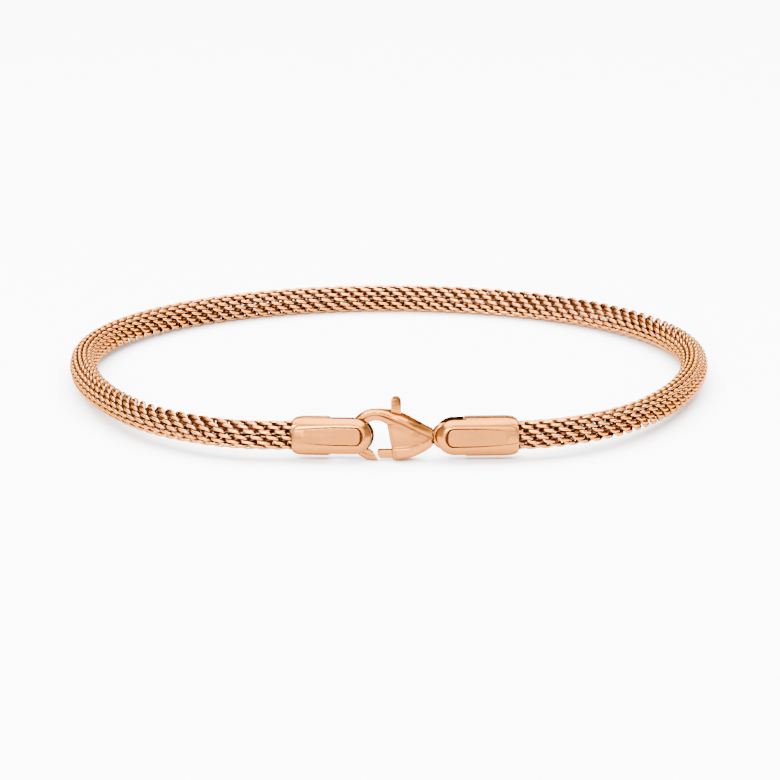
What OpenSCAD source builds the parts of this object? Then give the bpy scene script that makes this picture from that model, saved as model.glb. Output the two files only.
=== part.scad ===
// Woven mesh bracelet with two end caps and a lever clasp, lying on a flat surface.
// X runs along the front of the loop, Y away from the wearer's view, Z up; millimetres.

/* [Loop] */
// Width of the loop, measured along the middle of the mesh
loop_width = 60; // [54:1:68]
// Distance from the widest line of the loop forward to the clasp
loop_front = 29.2; // [27:0.2:32]
// Distance from the widest line of the loop back to its far end
loop_back = 26.8; // [25:0.2:30]
// Radius of the two front corners of the loop
front_corner_r = 20.5; // [18.5:0.5:22]
// Radius of the two back corners of the loop
back_corner_r = 27; // [25:0.5:29]
// Half length of the straight front of the loop, where the caps and the clasp lie
straight_front = 10.7; // [10.5:0.1:12]

/* [Mesh] */
// Outer diameter of the woven mesh tube
mesh_d = 2.76; // [2.4:0.02:3]
// Diameter of the hollow inside the mesh tube
mesh_hollow_d = 1.5; // [1:0.1:1.8]

/* [End caps] */
// Length of an end cap
cap_length = 7.35; // [7:0.05:8]
// Height of the two side plates of an end cap
plate_height = 3.3; // [3.1:0.02:3.4]
// Height of the closed core between the plates, which holds the mesh
core_height = 3.62; // [3.5:0.02:4]
// Thickness of the closed core from front to back
core_thickness = 3.1; // [3:0.05:3.2]
// Thickness of an end cap from front to back
cap_thickness = 3.4; // [3.3:0.05:3.8]
// Thickness of each side plate
plate_thickness = 0.7; // [0.5:0.05:0.8]
// Depth of the socket that the mesh sits in
socket_depth = 1.5; // [1:0.1:2]
// Gap all round between the mesh and its socket
socket_gap = 0.12; // [0.1:0.01:0.14]
// Gap between the mesh's end and the bottom of its socket
socket_end_gap = 0.2; // [0.15:0.01:0.3]
// Radius of the vertical corners at the mesh end
mouth_r = 0.8; // [0.4:0.05:1]
// Length of the slot for the hook in the left cap
hook_slot = 2.85; // [2:0.05:3]
// Length of the slot for the tail ring in the right cap
ring_slot = 1.45; // [1.3:0.05:2]
// Diameter of the cross bar in the left cap that the hook holds
hook_bar_d = 0.9; // [0.6:0.05:0.9]
// Diameter of the cross bar in the right cap that the tail ring holds
ring_bar_d = 0.7; // [0.5:0.05:0.75]
// Height of the raised front panel at its clasp end
panel_height = 1.6; // [1.2:0.05:1.8]
// Height of the raised front panel at its mesh end
panel_mesh_height = 1.02; // [0.8:0.02:1.2]
// Width of the groove round the raised panel
groove_width = 0.1; // [0.06:0.01:0.14]
// Depth of the groove round the raised panel
groove_depth = 0.12; // [0.06:0.01:0.2]
// Width of the crescent cut at the clasp end of the panel
crescent_width = 0.3; // [0.2:0.02:0.36]
// Turn of the left cap about its length, which makes its front look up
left_roll = 12; // [8:1:14]
// Turn of the left cap about the vertical
left_yaw = 3; // [2:0.5:4]
// Turn of the right cap about its length, which makes its front look up
right_roll = 7; // [4:1:10]
// Turn of the right cap about the vertical
right_yaw = 3; // [0:0.5:4]

/* [Clasp] */
// Outer radius of the hook
hook_r = 2.47; // [2.4:0.01:2.6]
// Radius of the round inside of the hook
hook_inner_r = 1.46; // [1.42:0.01:1.5]
// Thickness of the hook from front to back
hook_thickness = 0.9; // [0.7:0.05:0.95]
// Length of the clasp from the middle of the hook to its neck
clasp_length = 5.25; // [5.1:0.05:5.5]
// Thickness of the clasp's body from front to back
body_thickness = 2.4; // [2.2:0.05:2.6]
// Thickness of the clasp at its neck
neck_thickness = 1.1; // [0.9:0.05:1.3]
// Outer radius of the tail ring
ring_r = 1.3; // [1.25:0.01:1.36]
// Diameter of the tail ring's wire
ring_wire_d = 0.65; // [0.5:0.05:0.65]

/* [Lever] */
// Thickness of the lever from front to back
lever_thickness = 0.8; // [0.6:0.05:0.85]
// Gap on each side of the lever inside the clasp
lever_gap = 0.06; // [0.05:0.01:0.1]
// Diameter of the pivot pin
pin_d = 0.6; // [0.5:0.02:0.7]
// Length of the pivot pin
pin_length = 1.9; // [1.7:0.05:1.95]
// Gap all round between the pivot pin and its holes
pin_gap = 0.03; // [0.02:0.01:0.05]
// Angle that the lever opens by
lever_opening = 18; // [12:1:18]
// Width of the thumb tab
tab_width = 0.95; // [0.8:0.05:1.1]
// Thickness of the thumb tab from front to back
tab_thickness = 1.1; // [0.9:0.05:1.4]
// Height of the thumb tab's top above the middle of the clasp
tab_top = 3.79; // [3.5:0.05:4]
// Width of the gap between the gate and the tip of the hook
gate_gap = 0.2; // [0.14:0.01:0.24]

/* [Hidden] */
$fn = 48;
ROSE = [0.91, 0.70, 0.56];
ROSE_DARK = [0.80, 0.58, 0.45];
E = 0.01;

// The loop is made of quarters of three tangent arcs each. The arcs change at these
// two headings, the corner arc's radius is given, and the other two radii follow from
// the quarter's half width and half depth.
side_end = 30;
corner_end = 60;
function side_radius(a, b, r) =
    let (x = a - r * (cos(side_end) - cos(corner_end)), y = b - r * (sin(corner_end) - sin(side_end)))
    (x * (1 - sin(corner_end)) - cos(corner_end) * y) / quarter_scale();
function end_radius(a, b, r) =
    let (x = a - r * (cos(side_end) - cos(corner_end)), y = b - r * (sin(corner_end) - sin(side_end)))
    ((1 - cos(side_end)) * y - sin(side_end) * x) / quarter_scale();
function quarter_scale() =
    (1 - cos(side_end)) * (1 - sin(corner_end)) - cos(corner_end) * sin(side_end);

half_width = loop_width / 2;
mesh_r = mesh_d / 2;

// The middle of the hook, from the middle of the loop and the axis of the caps
hook_x = -1.25;
hook_z = 0.14;

// Points of the clasp in side view, from the middle of the hook
inner_middle = [0.1, -0.09];
tip_top = [-0.22, -1.69];
tip_root = [-0.62, -1.4];
edge_top = [1.03, 1.16];
edge_low = [1.69, -2.34];
edge_round = 0.3;
back_r = 7;
back_x = -0.15;
belly_r = 5.3;
belly_bottom = [1.85, -2.24];
slope_top = [2.45, 2.02];
neck_top = 0.52;
pivot = [3.34, 0];
eye_r = 0.75;
gate_top_z = -1.44;
gate_low_z = -2.2;
tab_x = 1.9;
// Slope of the gap between the hook's tip and the gate, as X for each unit of Z
tip_slope = -0.6;

// Widths of the clasp's body in plan, from the edge of its opening
cheek_bevel = 0.25;
widest_from = 0.9;
widest_to = 2.1;

ring_sink = 0.1;
ring_along = clasp_length + ring_r - ring_sink;
neck_overlap = 0.3;
neck_height = 1.2;

// Places of the cross bars and the caps, from the middle of the loop
bar_gap = 0.12;
hook_bar_x = hook_x + inner_middle[0] - hook_inner_r + bar_gap + hook_bar_d / 2;
ring_bar_x = hook_x + ring_along - ring_sink;
hook_bar_to_end = 0.02;
ring_bar_to_end = 0.15;
left_end_x = hook_bar_x + hook_bar_d / 2 + hook_bar_to_end;
right_end_x = ring_bar_x - ring_bar_d / 2 - ring_bar_to_end;
left_mouth_x = left_end_x - cap_length;
right_mouth_x = right_end_x + cap_length;

// The clasp and the far end of the mesh both touch the surface
axis_z = hook_r - hook_z;
mesh_tilt = asin((axis_z - mesh_r) / (loop_front + loop_back));
// The caps and the clasp lie a little forward of the straight front of the mesh
clasp_forward = 0.3;
clasp_y = -loop_front - clasp_forward;
// The middle of the whole piece from front to back is the origin
centre_y = (loop_back + mesh_r + clasp_y - cap_thickness / 2) / 2;

slot_thickness = lever_thickness + 2 * lever_gap;

// Points of one quarter of the loop from its widest point to its front or back:
// each is a place and a heading, which is also the direction straight outwards.
heading_step = 6;
function quarter_points(shift, a, b, r) =
    let (side_r = side_radius(a, b, r), end_r = end_radius(a, b, r))
    let (side_c = [shift + a - side_r, 0])
    let (corner_c = side_c + (side_r - r) * [cos(side_end), sin(side_end)])
    let (end_c = corner_c + (r - end_r) * [cos(corner_end), sin(corner_end)])
    [for (h = [0 : heading_step : 90])
        let (arc = h < side_end ? [side_c, side_r] : h < corner_end ? [corner_c, r] : [end_c, end_r])
        [arc[0] + arc[1] * [cos(h), sin(h)], [cos(h), sin(h)]]];

function turned_round(list) = [for (i = [len(list) - 1 : -1 : 0]) list[i]];
function without_first(list) = [for (i = [1 : len(list) - 1]) list[i]];
// Mirrors points across X, Y or both, by a sign for each
function flipped(list, sx, sy) =
    [for (p = list) [[p[0][0] * sx, p[0][1] * sy], [p[1][0] * sx, p[1][1] * sy]]];

front_quarter = quarter_points(straight_front, half_width - straight_front, loop_front, front_corner_r);
back_quarter = quarter_points(0, half_width, loop_back, back_corner_r);
front_out = [0, -1];
// The way round the loop from the left cap by the back to the right cap
loop_route = concat(
    [[[left_mouth_x + socket_depth - socket_end_gap, -loop_front], front_out]],
    flipped(turned_round(front_quarter), -1, -1),
    without_first(flipped(back_quarter, -1, 1)),
    without_first(turned_round(back_quarter)),
    without_first(flipped(front_quarter, 1, -1)),
    [[[right_mouth_x - socket_depth + socket_end_gap, -loop_front], front_out]]
);

// A hollow tube along points in the XY plane, with a flat ring at each end
module hollow_tube(route, outer_r, inner_r, sides) {
    rings = len(route);
    points = [for (r = [outer_r, inner_r]) for (p = route) for (k = [0 : sides - 1])
        let (t = 360 * k / sides, out = p[1] * cos(t) * r)
        [p[0][0] + out[0], p[0][1] + out[1], sin(t) * r]];
    function at(wall, i, k) = (wall * rings + i) * sides + k % sides;
    outer = [for (i = [0 : rings - 2]) for (k = [0 : sides - 1])
        [at(0, i, k), at(0, i, k + 1), at(0, i + 1, k + 1), at(0, i + 1, k)]];
    inner = [for (i = [0 : rings - 2]) for (k = [0 : sides - 1])
        [at(1, i, k), at(1, i + 1, k), at(1, i + 1, k + 1), at(1, i, k + 1)]];
    first = [for (k = [0 : sides - 1]) [at(0, 0, k), at(1, 0, k), at(1, 0, k + 1), at(0, 0, k + 1)]];
    last = [for (k = [0 : sides - 1])
        [at(0, rings - 1, k), at(0, rings - 1, k + 1), at(1, rings - 1, k + 1), at(1, rings - 1, k)]];
    polyhedron(points, concat(outer, inner, first, last));
}

module mesh_tube() {
    color(ROSE)
    translate([0, -loop_front - centre_y, axis_z])
        rotate([-mesh_tilt, 0, 0])
            translate([0, loop_front, 0])
                hollow_tube(loop_route, mesh_r, mesh_hollow_d / 2, 12);
}

// Stands a flat outline up in the plane of the clasp, centred on it
module upright(thickness) {
    rotate([90, 0, 0])
        linear_extrude(thickness, center = true)
            children();
}

// Side view of a cap: small corners at the mouth, and a round clasp end
mouth_corner_r = 0.65;
module cap_outline() {
    corner = mouth_corner_r;
    half = plate_height / 2;
    translate([corner, -half]) square([cap_length - half - corner, plate_height]);
    translate([0, corner - half]) square([cap_length - half, plate_height - 2 * corner]);
    for (side = [-1, 1])
        translate([corner, side * (half - corner)]) circle(corner);
    translate([cap_length - half, 0]) circle(half);
}

// Plan view of a cap: round corners at the mouth, square at the clasp end
module cap_plan() {
    half = cap_thickness / 2;
    translate([mouth_r, -half]) square([cap_length - mouth_r, cap_thickness]);
    translate([0, mouth_r - half]) square([mouth_r + E, cap_thickness - 2 * mouth_r]);
    for (side = [-1, 1])
        translate([mouth_r, side * (half - mouth_r)]) circle(mouth_r);
}

// End view of a cap: its long edges are broken by a wide bevel
bevel_depth = 0.5;
module cap_profile() {
    half = cap_thickness / 2;
    flat = panel_height / 2 + groove_width;
    top = plate_height / 2;
    inner = half - bevel_depth;
    polygon([
        [-half, -flat], [-inner, -top], [inner, -top], [half, -flat],
        [half, flat], [inner, top], [-inner, top], [-half, flat]
    ]);
}

// A bar along +X with its four long edges and the edges of both ends rounded
core_edge_r = 0.4;
module rounded_core(length) {
    r = core_edge_r;
    translate([length / 2, 0, 0]) intersection() {
        upright(core_thickness) rounded_square([length, core_height], r);
        rotate([90, 0, 90]) linear_extrude(length, center = true)
            rounded_square([core_thickness, core_height], r);
        linear_extrude(core_height, center = true) rounded_square([length, core_thickness], r);
    }
}

module rounded_square(size, r) {
    square(size - [0, 2 * r], center = true);
    square(size - [2 * r, 0], center = true);
    for (x = [-1, 1]) for (y = [-1, 1])
        translate([x * (size[0] / 2 - r), y * (size[1] / 2 - r)]) circle(r);
}

// The two side plates, before the slot parts them
module cap_block() {
    intersection() {
        upright(cap_thickness) cap_outline();
        linear_extrude(plate_height, center = true) cap_plan();
        rotate([90, 0, 90]) linear_extrude(cap_length) cap_profile();
    }
}

// The raised panel: tapered towards the mouth, round corners at the clasp end
panel_corner_r = 0.5;
panel_from_mouth = 0.3;
panel_from_end = 0.95;
module panel_outline(grow) {
    corner = panel_corner_r + grow;
    from_x = panel_from_mouth - grow;
    to_x = cap_length - panel_from_end + grow;
    high = panel_height / 2 + grow;
    low = panel_mesh_height / 2 + grow;
    polygon([[from_x, -low], [to_x - corner, -high], [to_x - corner, high], [from_x, low]]);
    translate([to_x - corner - E, -high + corner]) square([corner + E, 2 * (high - corner)]);
    for (side = [-1, 1])
        translate([to_x - corner, side * (high - corner)]) circle(corner);
}

// The groove round a panel, with the wider crescent at its clasp end
module panel_cut() {
    deep = 2 * groove_depth;
    for (side = [-1, 1])
        translate([0, side * cap_thickness / 2, 0]) {
            upright(deep) difference() {
                panel_outline(groove_width);
                panel_outline(0);
            }
            upright(2 * deep) intersection() {
                difference() {
                    translate([crescent_width, 0]) panel_outline(0);
                    panel_outline(0);
                }
                translate([cap_length - plate_height / 2, -panel_height / 2])
                    square([plate_height / 2, panel_height]);
            }
        }
}

// A cap along +X from its mouth. The slot is open above and below and is crossed by a bar.
module end_cap(slot, bar_x, bar_d) {
    slot_width = cap_thickness - 2 * plate_thickness;
    slot_from = bar_x - bar_d / 2 - slot;
    difference() {
        union() {
            cap_block();
            rounded_core(slot_from);
        }
        translate([slot_from, -slot_width / 2, -core_height])
            cube([cap_length, slot_width, 2 * core_height]);
        translate([-E, 0, 0])
            rotate([0, 90, 0])
                cylinder(h = socket_depth + E, d = mesh_d + 2 * socket_gap);
        panel_cut();
    }
    translate([bar_x, 0, 0])
        rotate([90, 0, 0])
            cylinder(h = slot_width + plate_thickness, d = bar_d, center = true);
}

// Each cap turns about the middle of its socket
module left_end_cap() {
    color(ROSE)
    translate([left_mouth_x + socket_depth / 2, -loop_front - centre_y, axis_z])
        rotate([0, 0, -left_yaw])
            rotate([-left_roll, 0, 0])
                translate([-socket_depth / 2, 0, 0])
                    end_cap(hook_slot, hook_bar_x - left_mouth_x, hook_bar_d);
}

module right_end_cap() {
    color(ROSE)
    translate([right_mouth_x - socket_depth / 2, -loop_front - centre_y, axis_z])
        rotate([0, 0, right_yaw])
            rotate([-right_roll, 0, 0])
                translate([socket_depth / 2, 0, 0])
                    mirror([1, 0, 0])
                        end_cap(ring_slot, right_mouth_x - ring_bar_x, ring_bar_d);
}

// The clasp is drawn about the middle of its hook, in its own upright plane
module in_clasp() {
    translate([hook_x, clasp_y - centre_y, axis_z + hook_z]) children();
}

// The faces of the hook's tip and of the gate that meet it
function tip_face_x(z) = tip_top[0] + (z - tip_top[1]) * tip_slope;
function gate_end_x(z) = tip_face_x(z) + gate_gap * norm([1, tip_slope]);

// Side view of the clasp's body, from the hook to the neck
module body_outline() {
    intersection() {
        translate([back_x, hook_r - back_r]) circle(back_r, $fn = 120);
        translate(belly_bottom + [0, belly_r]) circle(belly_r, $fn = 120);
        polygon([
            [0, hook_r], slope_top, [clasp_length, neck_top], [clasp_length, -hook_r], [0, -hook_r]
        ]);
    }
}

// The open inside of the hook, left of the body's edge and down to the gate's gap
module hook_inside() {
    top_z = inner_middle[1] + hook_inner_r;
    below_z = -hook_r - tip_slope * tip_slope;
    intersection() {
        translate(inner_middle) circle(hook_inner_r);
        translate([inner_middle[0] - hook_r, -hook_r]) square([hook_r, 2 * hook_r]);
    }
    polygon([
        [inner_middle[0] - E, top_z], [edge_top[0] - edge_round, top_z], edge_top, edge_low,
        [edge_low[0], below_z], [tip_face_x(below_z), below_z], tip_top, tip_root,
        inner_middle - [E, 0]
    ]);
}

module clasp_outline() {
    difference() {
        union() {
            circle(hook_r, $fn = 96);
            body_outline();
        }
        hook_inside();
    }
}

// Space inside the clasp for the lever at every angle, right of the hook's opening
module lever_space() {
    clearance = 4 / 3 * lever_gap;
    intersection() {
        union() {
            translate(pivot) circle(eye_r + lever_gap);
            for (turn = [0 : lever_opening / 3 : lever_opening])
                translate(pivot)
                    rotate(-turn)
                        translate(-pivot)
                            lever_arms(clearance);
        }
        translate([edge_top[0] - edge_round / 3, -2 * hook_r]) square([clasp_length, 4 * hook_r]);
    }
}

// Plan view of the body: full at the cheeks, narrow at the neck
module body_plan() {
    half = body_thickness / 2;
    neck = neck_thickness / 2;
    hook = hook_thickness / 2;
    far = -2 * hook_r;
    edge = edge_top[0];
    polygon([
        [far, -hook], [0, -hook], [edge, cheek_bevel - half], [edge + widest_from, -half],
        [edge + widest_to, -half], [clasp_length + ring_sink, -neck],
        [clasp_length + ring_sink, neck], [edge + widest_to, half],
        [edge + widest_from, half], [edge, half - cheek_bevel], [0, hook], [far, hook]
    ]);
}

module clasp_body() {
    color(ROSE)
    in_clasp() difference() {
        union() {
            intersection() {
                upright(2 * body_thickness) clasp_outline();
                linear_extrude(4 * hook_r, center = true) body_plan();
            }
            translate([ring_along, 0, -hook_z])
                rotate([90, 0, 0])
                    rotate_extrude()
                        translate([ring_r - ring_wire_d / 2, 0]) circle(d = ring_wire_d);
            neck_length = neck_overlap + ring_along - ring_r - clasp_length + ring_wire_d / 2;
            translate([clasp_length - neck_overlap, -ring_wire_d / 2, -hook_z - neck_height / 2])
                cube([neck_length, ring_wire_d, neck_height]);
        }
        upright(slot_thickness) lever_space();
        along_pin() cylinder(h = pin_length + 2 * pin_gap, d = pin_d + 2 * pin_gap, center = true);
    }
}

module along_pin() {
    translate([pivot[0], 0, pivot[1]])
        rotate([90, 0, 0])
            children();
}

module clasp_pin() {
    color(ROSE_DARK)
    in_clasp() along_pin() cylinder(h = pin_length, d = pin_d, center = true);
}

// Side view of the lever's two arms: the gate to the lower left, the tab's stem up.
// The gate ends in a face along the slant of the hook's tip, with its corners cut.
gate_chamfer = 0.12;
gate_root = 0.7;
stem_hidden = 0.95;
module lever_arms(grow) {
    side_grow = 1.25 * grow;
    gate_mid_z = (gate_low_z + gate_top_z) / 2;
    gate_end = gate_end_x(gate_mid_z) - grow;
    polygon([
        pivot - [0, gate_root + side_grow],
        [edge_low[0] + gate_root / 2, gate_low_z - side_grow],
        [gate_end_x(gate_low_z) - grow, gate_low_z - side_grow],
        [gate_end, gate_mid_z],
        [gate_end, gate_top_z - gate_chamfer],
        [gate_end + gate_chamfer, gate_top_z + grow],
        [edge_low[0], gate_top_z + side_grow],
        pivot + [-gate_root - side_grow, 0],
        pivot
    ]);
    // The stem's sides stand upright where it leaves the body
    near = tab_x - tab_width / 2 - grow;
    far = tab_x + tab_width / 2 + grow;
    polygon([
        pivot - [gate_root + grow, 0],
        [near, hook_r - stem_hidden], [near, hook_r], [far, hook_r], [far, hook_r - stem_hidden],
        pivot + [gate_root + side_grow, 0]
    ]);
}

module clasp_lever() {
    top = tab_top - hook_z - tab_width / 2;
    color(ROSE_DARK)
    in_clasp() difference() {
        union() {
            upright(lever_thickness) {
                translate(pivot) circle(eye_r);
                lever_arms(0);
            }
            upright(tab_thickness) {
                translate([tab_x, top]) circle(d = tab_width);
                translate([tab_x - tab_width / 2, hook_r]) square([tab_width, top - hook_r]);
            }
        }
        along_pin() cylinder(h = 2 * lever_thickness, d = pin_d + 2 * pin_gap, center = true);
    }
}

mesh_tube();
left_end_cap();
right_end_cap();
clasp_body();
clasp_pin();
clasp_lever();
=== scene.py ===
"""A woven mesh bracelet with two end caps and a lever clasp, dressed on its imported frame."""
import math

import bmesh
import bpy
from mathutils import Matrix, Vector


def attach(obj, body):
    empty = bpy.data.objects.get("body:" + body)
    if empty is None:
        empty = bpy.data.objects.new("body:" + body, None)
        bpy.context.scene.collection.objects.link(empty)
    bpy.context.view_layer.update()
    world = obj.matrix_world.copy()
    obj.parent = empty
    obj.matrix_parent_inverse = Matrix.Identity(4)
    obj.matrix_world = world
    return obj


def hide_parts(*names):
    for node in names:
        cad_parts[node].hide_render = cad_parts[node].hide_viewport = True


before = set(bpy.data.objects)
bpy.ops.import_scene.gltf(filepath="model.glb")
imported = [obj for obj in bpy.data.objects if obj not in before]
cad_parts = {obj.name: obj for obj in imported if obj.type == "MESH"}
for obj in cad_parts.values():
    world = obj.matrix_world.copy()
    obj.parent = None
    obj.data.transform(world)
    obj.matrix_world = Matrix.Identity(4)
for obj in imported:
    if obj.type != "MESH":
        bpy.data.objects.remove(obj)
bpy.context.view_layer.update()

# Lengths are millimetres until a piece is finished, as in the part's own drawing
MM = 0.001
AS_DRAWN = Matrix.Identity(4)
FLIPPED = Matrix.Scale(-1, 4, (0, 1, 0))

# Lengths too small to see: two places that count as one, and what two round corners keep apart
TOUCH = 0.01
HAIR = 0.002

# The wrist loop, as the part has it
LOOP_WIDTH = 60.0
LOOP_FRONT = 29.2
LOOP_BACK = 26.8
FRONT_CORNER_R = 20.5
BACK_CORNER_R = 27.0
STRAIGHT_FRONT = 10.7
SIDE_END = math.radians(30)
CORNER_END = math.radians(60)
MESH_R = 1.38
AXIS_Z = 2.33
CENTRE_Y = -1.51
MESH_TILT = math.asin((AXIS_Z - MESH_R) / (LOOP_FRONT + LOOP_BACK))
LEFT_MOUTH_X = -8.92
RIGHT_MOUTH_X = 11.95
SOCKET_DEPTH = 1.3

# The end caps, each drawn along X from its mouth, with the middle of the mesh at the origin
CAP_LENGTH = 7.35
CAP_HEIGHT = 3.3
CAP_THICKNESS = 3.4
SLOT_WIDTH = 2.0

# A cap's mouth, where its corners are rounded and its faces curve back
MOUTH_CORNER_R = 1.05
MOUTH_LENGTH = 1.2
MOUTH_CUTS = 6
MOUTH_DROP = 0.16
MOUTH_TAPER = 0.37

# A cap's two plates: a rim, a wide bevel that swells over it, and a pocket in the bevel
RIM_THICKNESS = 2.4
RIM_EDGE_R = 0.12
BEVEL_STEPS = 6
POCKET_TO = 6.6
POCKET_SINK = 0.4
POCKET_EDGE_R = 0.03
POCKET_LIP = 0.08
POCKET_FULLNESS = 1.3
# Painted shade on a plate's side in the slot, full up to the first depth and gone from the second
SLOT_SIDE_SHADE_TO = 0.08
SLOT_SIDE_UNSHADED_FROM = 0.1
OUTLINE_PARTS = 8

# The panel in a pocket, and the crease that is left open round it
PANEL_FROM = 0.03
PANEL_TO = 6.3
PANEL_SWELLS_TO = 4.0
PANEL_MOUTH_HEIGHT = 1.02
PANEL_END_HEIGHT = 1.56
PANEL_MOUTH_CORNER_R = 0.1
PANEL_CORNER_R = 0.5
PANEL_EDGE_R = 0.06
PANEL_FOOT = 0.1
CREASE_AT_MOUTH = 0.03
CREASE_AT_END = 0.11

# A cap's closed half with its socket, and the bar across its slot
CORE_HEIGHT = 3.62
CORE_THICKNESS = 3.1
CORE_EDGE_R = 0.95
CORE_END_R = 0.3
# Where the core's sides under the pockets carry painted shade
CORE_SIDE_Y = 1.2
CORE_SIDE_Z = 1.3
SOCKET_R = 1.42
SOCKET_SIDES = 40
BAR_IN_PLATE = 0.1
BAR_SIDES = 32
CAP_TURNS_AT = 0.75

# Each cap: how far its two plates are drawn out, its closed half, its bar, and its turn and roll
LEFT_CAP = {"near": 1.0, "far": 1.02, "core": 3.58, "bar": 6.88, "bar_d": 0.9, "turn": -3, "roll": -12}
RIGHT_CAP = {"near": 1.038, "far": 1.038, "core": 5.05, "bar": 6.85, "bar_d": 0.7, "turn": 3, "roll": -7}

# The clasp's place and its outline, drawn about the middle of its hook
HOOK_X = -1.25
HOOK_Z = 0.14
CLASP_Y = -29.5
HOOK_R = 2.47
HOOK_INSIDE_R = 1.46
HOOK_INSIDE_MIDDLE = Vector((0.1, -0.09))
TIP_TOP = (-0.22, -1.69)
TIP_LOW_ANGLE = -84.4
BACK_R = 7.0
BACK_MIDDLE = Vector((-0.15, -4.53))
BACK_STRAIGHT_FROM = Vector((3.0, 1.72))
BELLY_R = 5.3
BELLY_MIDDLE = Vector((1.85, 3.06))
EDGE_TOP = Vector((1.03, 1.16))
EDGE_LOW = Vector((1.69, -2.34))
EDGE_SLACK = 1e-4
NOSE_TOP = Vector((5.25, 0.5))
NOSE_REACH = 0.2

# The clasp's relief: its thickness along it, its rounded edges, and the step under its ridge
HOOK_THICKNESS = 0.9
BODY_SWELL = 0.75
BODY_SWELLS_OVER = (0, 2.1)
TAIL_FALL = 0.6
TAIL_FALLS_OVER = (2.9, 5.6)
BACK_EDGE = 0.24
BACK_EDGE_GROWS_BY = 0.16
BACK_EDGE_GROWS_OVER = (0, 2)
BODY_LIP = 0.09
HOOK_LIP = 0.2
BELLY_EDGE = 0.4
NOSE_EDGE = 0.35
EDGE_SHARE = 0.3
THIN_WALL = 0.03
SLOT_HALF = 0.45
SLOT_FROM = 1.33
SLOT_WALL = 0.1
BELLY_WALL = 0.4
STEP_FROM = 0.42
STEP_TO = 0.62
STEP_WIDENS_BY = 0.14
STEP_DROP = 0.09
STEP_FILLS_OVER = (0.4, 1.8)
CHEEK_RISE = 0.08
CHEEK_RISES_OVER = (0.75, 1.5)
CHEEK_FALL = 0.06
CHEEK_FALLS_FROM = 1.7
BAND_WIDTH = 1.15
BAND_WIDEST_X = 1.6
BAND_NARROWING = 0.045
BAND_RISE = 0.13
BAND_STEP_FROM = 0.1
BAND_STEP_TO = 0.18
KNOB_MIDDLE = Vector((4.4, 0.05))
KNOB_RISE = 0.17
KNOB_FADES_OVER = (0.25, 1.15)
KNOB_STRETCH = 1.2
CUT_SPACING = 0.05
CUT_MERGE = 1e-5
RELIEF_SHARP_FROM = math.radians(75)

# The clasp's tail ring
RING_MIDDLE_X = 6.45
RING_R = 1.3
RING_WIRE_D = 0.65
RING_SIDES = 20
RING_STEPS = 64
NECK_EDGE_R = 0.1

# The lever: the eye on its pivot, its gate and its thumb tab
PIVOT = (3.34, 0.0)
EYE_R = 0.75
LEVER_THICKNESS = 0.8
STEM_EDGE_R = 0.05
GATE_END_X = 0.16
GATE_END_SLANT = 0.6
GATE_CORNER = 0.12
GATE_EDGE_R = 0.08
GATE_LOW_Z = -2.2
GATE_TOP_Z = -1.44
TAB_X = 1.9
TAB_WIDTH = 0.95
TAB_FOOT = 2.0
TAB_TOP = 3.65
TAB_THICKNESS = 0.8
TAB_STEPS = 14
TAB_NARROWEST = 0.02
TAB_THINS_BY = 0.3
TAB_RIM = 0.13
TAB_SCOOP = 0.22
TAB_PAINTED_SHADE = 0.8
TAB_EDGE_R = 0.07
TAB_EDGE_FROM = 0.9

# The photograph's view of it
PHOTO_SIZE = 780
CAMERA_DISTANCE = 500.0
CAMERA_ELEVATION = math.radians(14.8)
PIXELS_PER_RADIAN = 5075
LOOP_MIDDLE_PX = (389, 360)
SENSOR_WIDTH = 36.0
CLIP_START = 0.01
CLIP_END = 20

# Studio light, in metres and watts: each lamp's place, what it points at, its size and its power
WORLD_STRENGTH = 0.7
FLOOR_HALF = 4
FLOOR_WHITE = 0.95
FLOOR_ROUGHNESS = 0.9
LAMPS = {
    "overhead": ((0, 0.1, 0.6), (0, 0.05, 0), (0.9, 0.9), 55),
    "front": ((0, -0.8, 0.3), (0, 0, 0), (1.2, 0.5), 12),
    "upper": ((0, -0.62, 0.5), (0, 0, 0), (1.2, 0.3), 9),
    "back": ((0, 0.9, 0.3), (0, 0, 0), (1.6, 0.5), 1.5),
    "right": ((0.75, -0.4, 0.3), (0, 0, 0), (0.9, 0.4), 1.6),
    "left": ((-0.75, -0.4, 0.3), (0, 0, 0), (0.9, 0.4), 1.6),
    "key": ((-0.15, -0.6, 0.32), (0, 0, 0), (0.3, 0.07), 16),
}

# The plating: its colours, bright and as painted shade in the recesses, the wear on it, and where it
# shades sharp
WIRE_GOLD = (0.5, 0.2, 0.05)
WIRE_PAINTED_SHADE = (0.13, 0.058, 0.03)
WIRE_ROUGHNESS = 0.17
# The caps and clasp get a darker copy of the wire's gold, painted shade that keeps their flat faces from
# reflecting the bright floor too brightly
CAP_GOLD_AND_SHADE = (0.3, 0.1, 0.018)
CAP_PAINTED_SHADE = (0.03, 0.008, 0.002)
CAP_ROUGHNESS = 0.25
EDGE_TINT = (0.8, 0.5, 0.35)
# Painted shade shows from the first of these marks and is full at the second
PAINTED_SHADE_FROM = 0.02
PAINTED_SHADE_TO = 0.34
ROUGHNESS_SPREAD = 0.03
TONE_SPREAD = 0.9
PATCH_SCALE = 260
LINE_SCALE = 900
LINE_STRETCH = (1, 1, 9)
SCRATCH_SCALE = 1400
SCRATCH_STRETCH = (1, 1, 6)
SCRATCH_DEPTH = 0.01
SCRATCH_STRENGTH = 0.25
SHARP_FROM = math.radians(40)

# Painted shadow: the mesh goes darker where it enters a cap
MOUTH_SHADOW_BAND = 0.5
MOUTH_PAINTED_SHADOW = 0.3

# The weave: a coil of wire wound round the tube, hooked through its last round as it goes
WIRE_D = 0.33
TURNS_A_ROUND = 7.5
ROUND_SPACING = 0.69
COIL_LENGTH = 1.14
COIL_DEPTH = 0.58
LIMB_SHARE = 0.05
LIMB_STEPS = 2
ARC_STEPS = 6
END_REACH = 0.34
MESH_PIECES = 3


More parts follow.
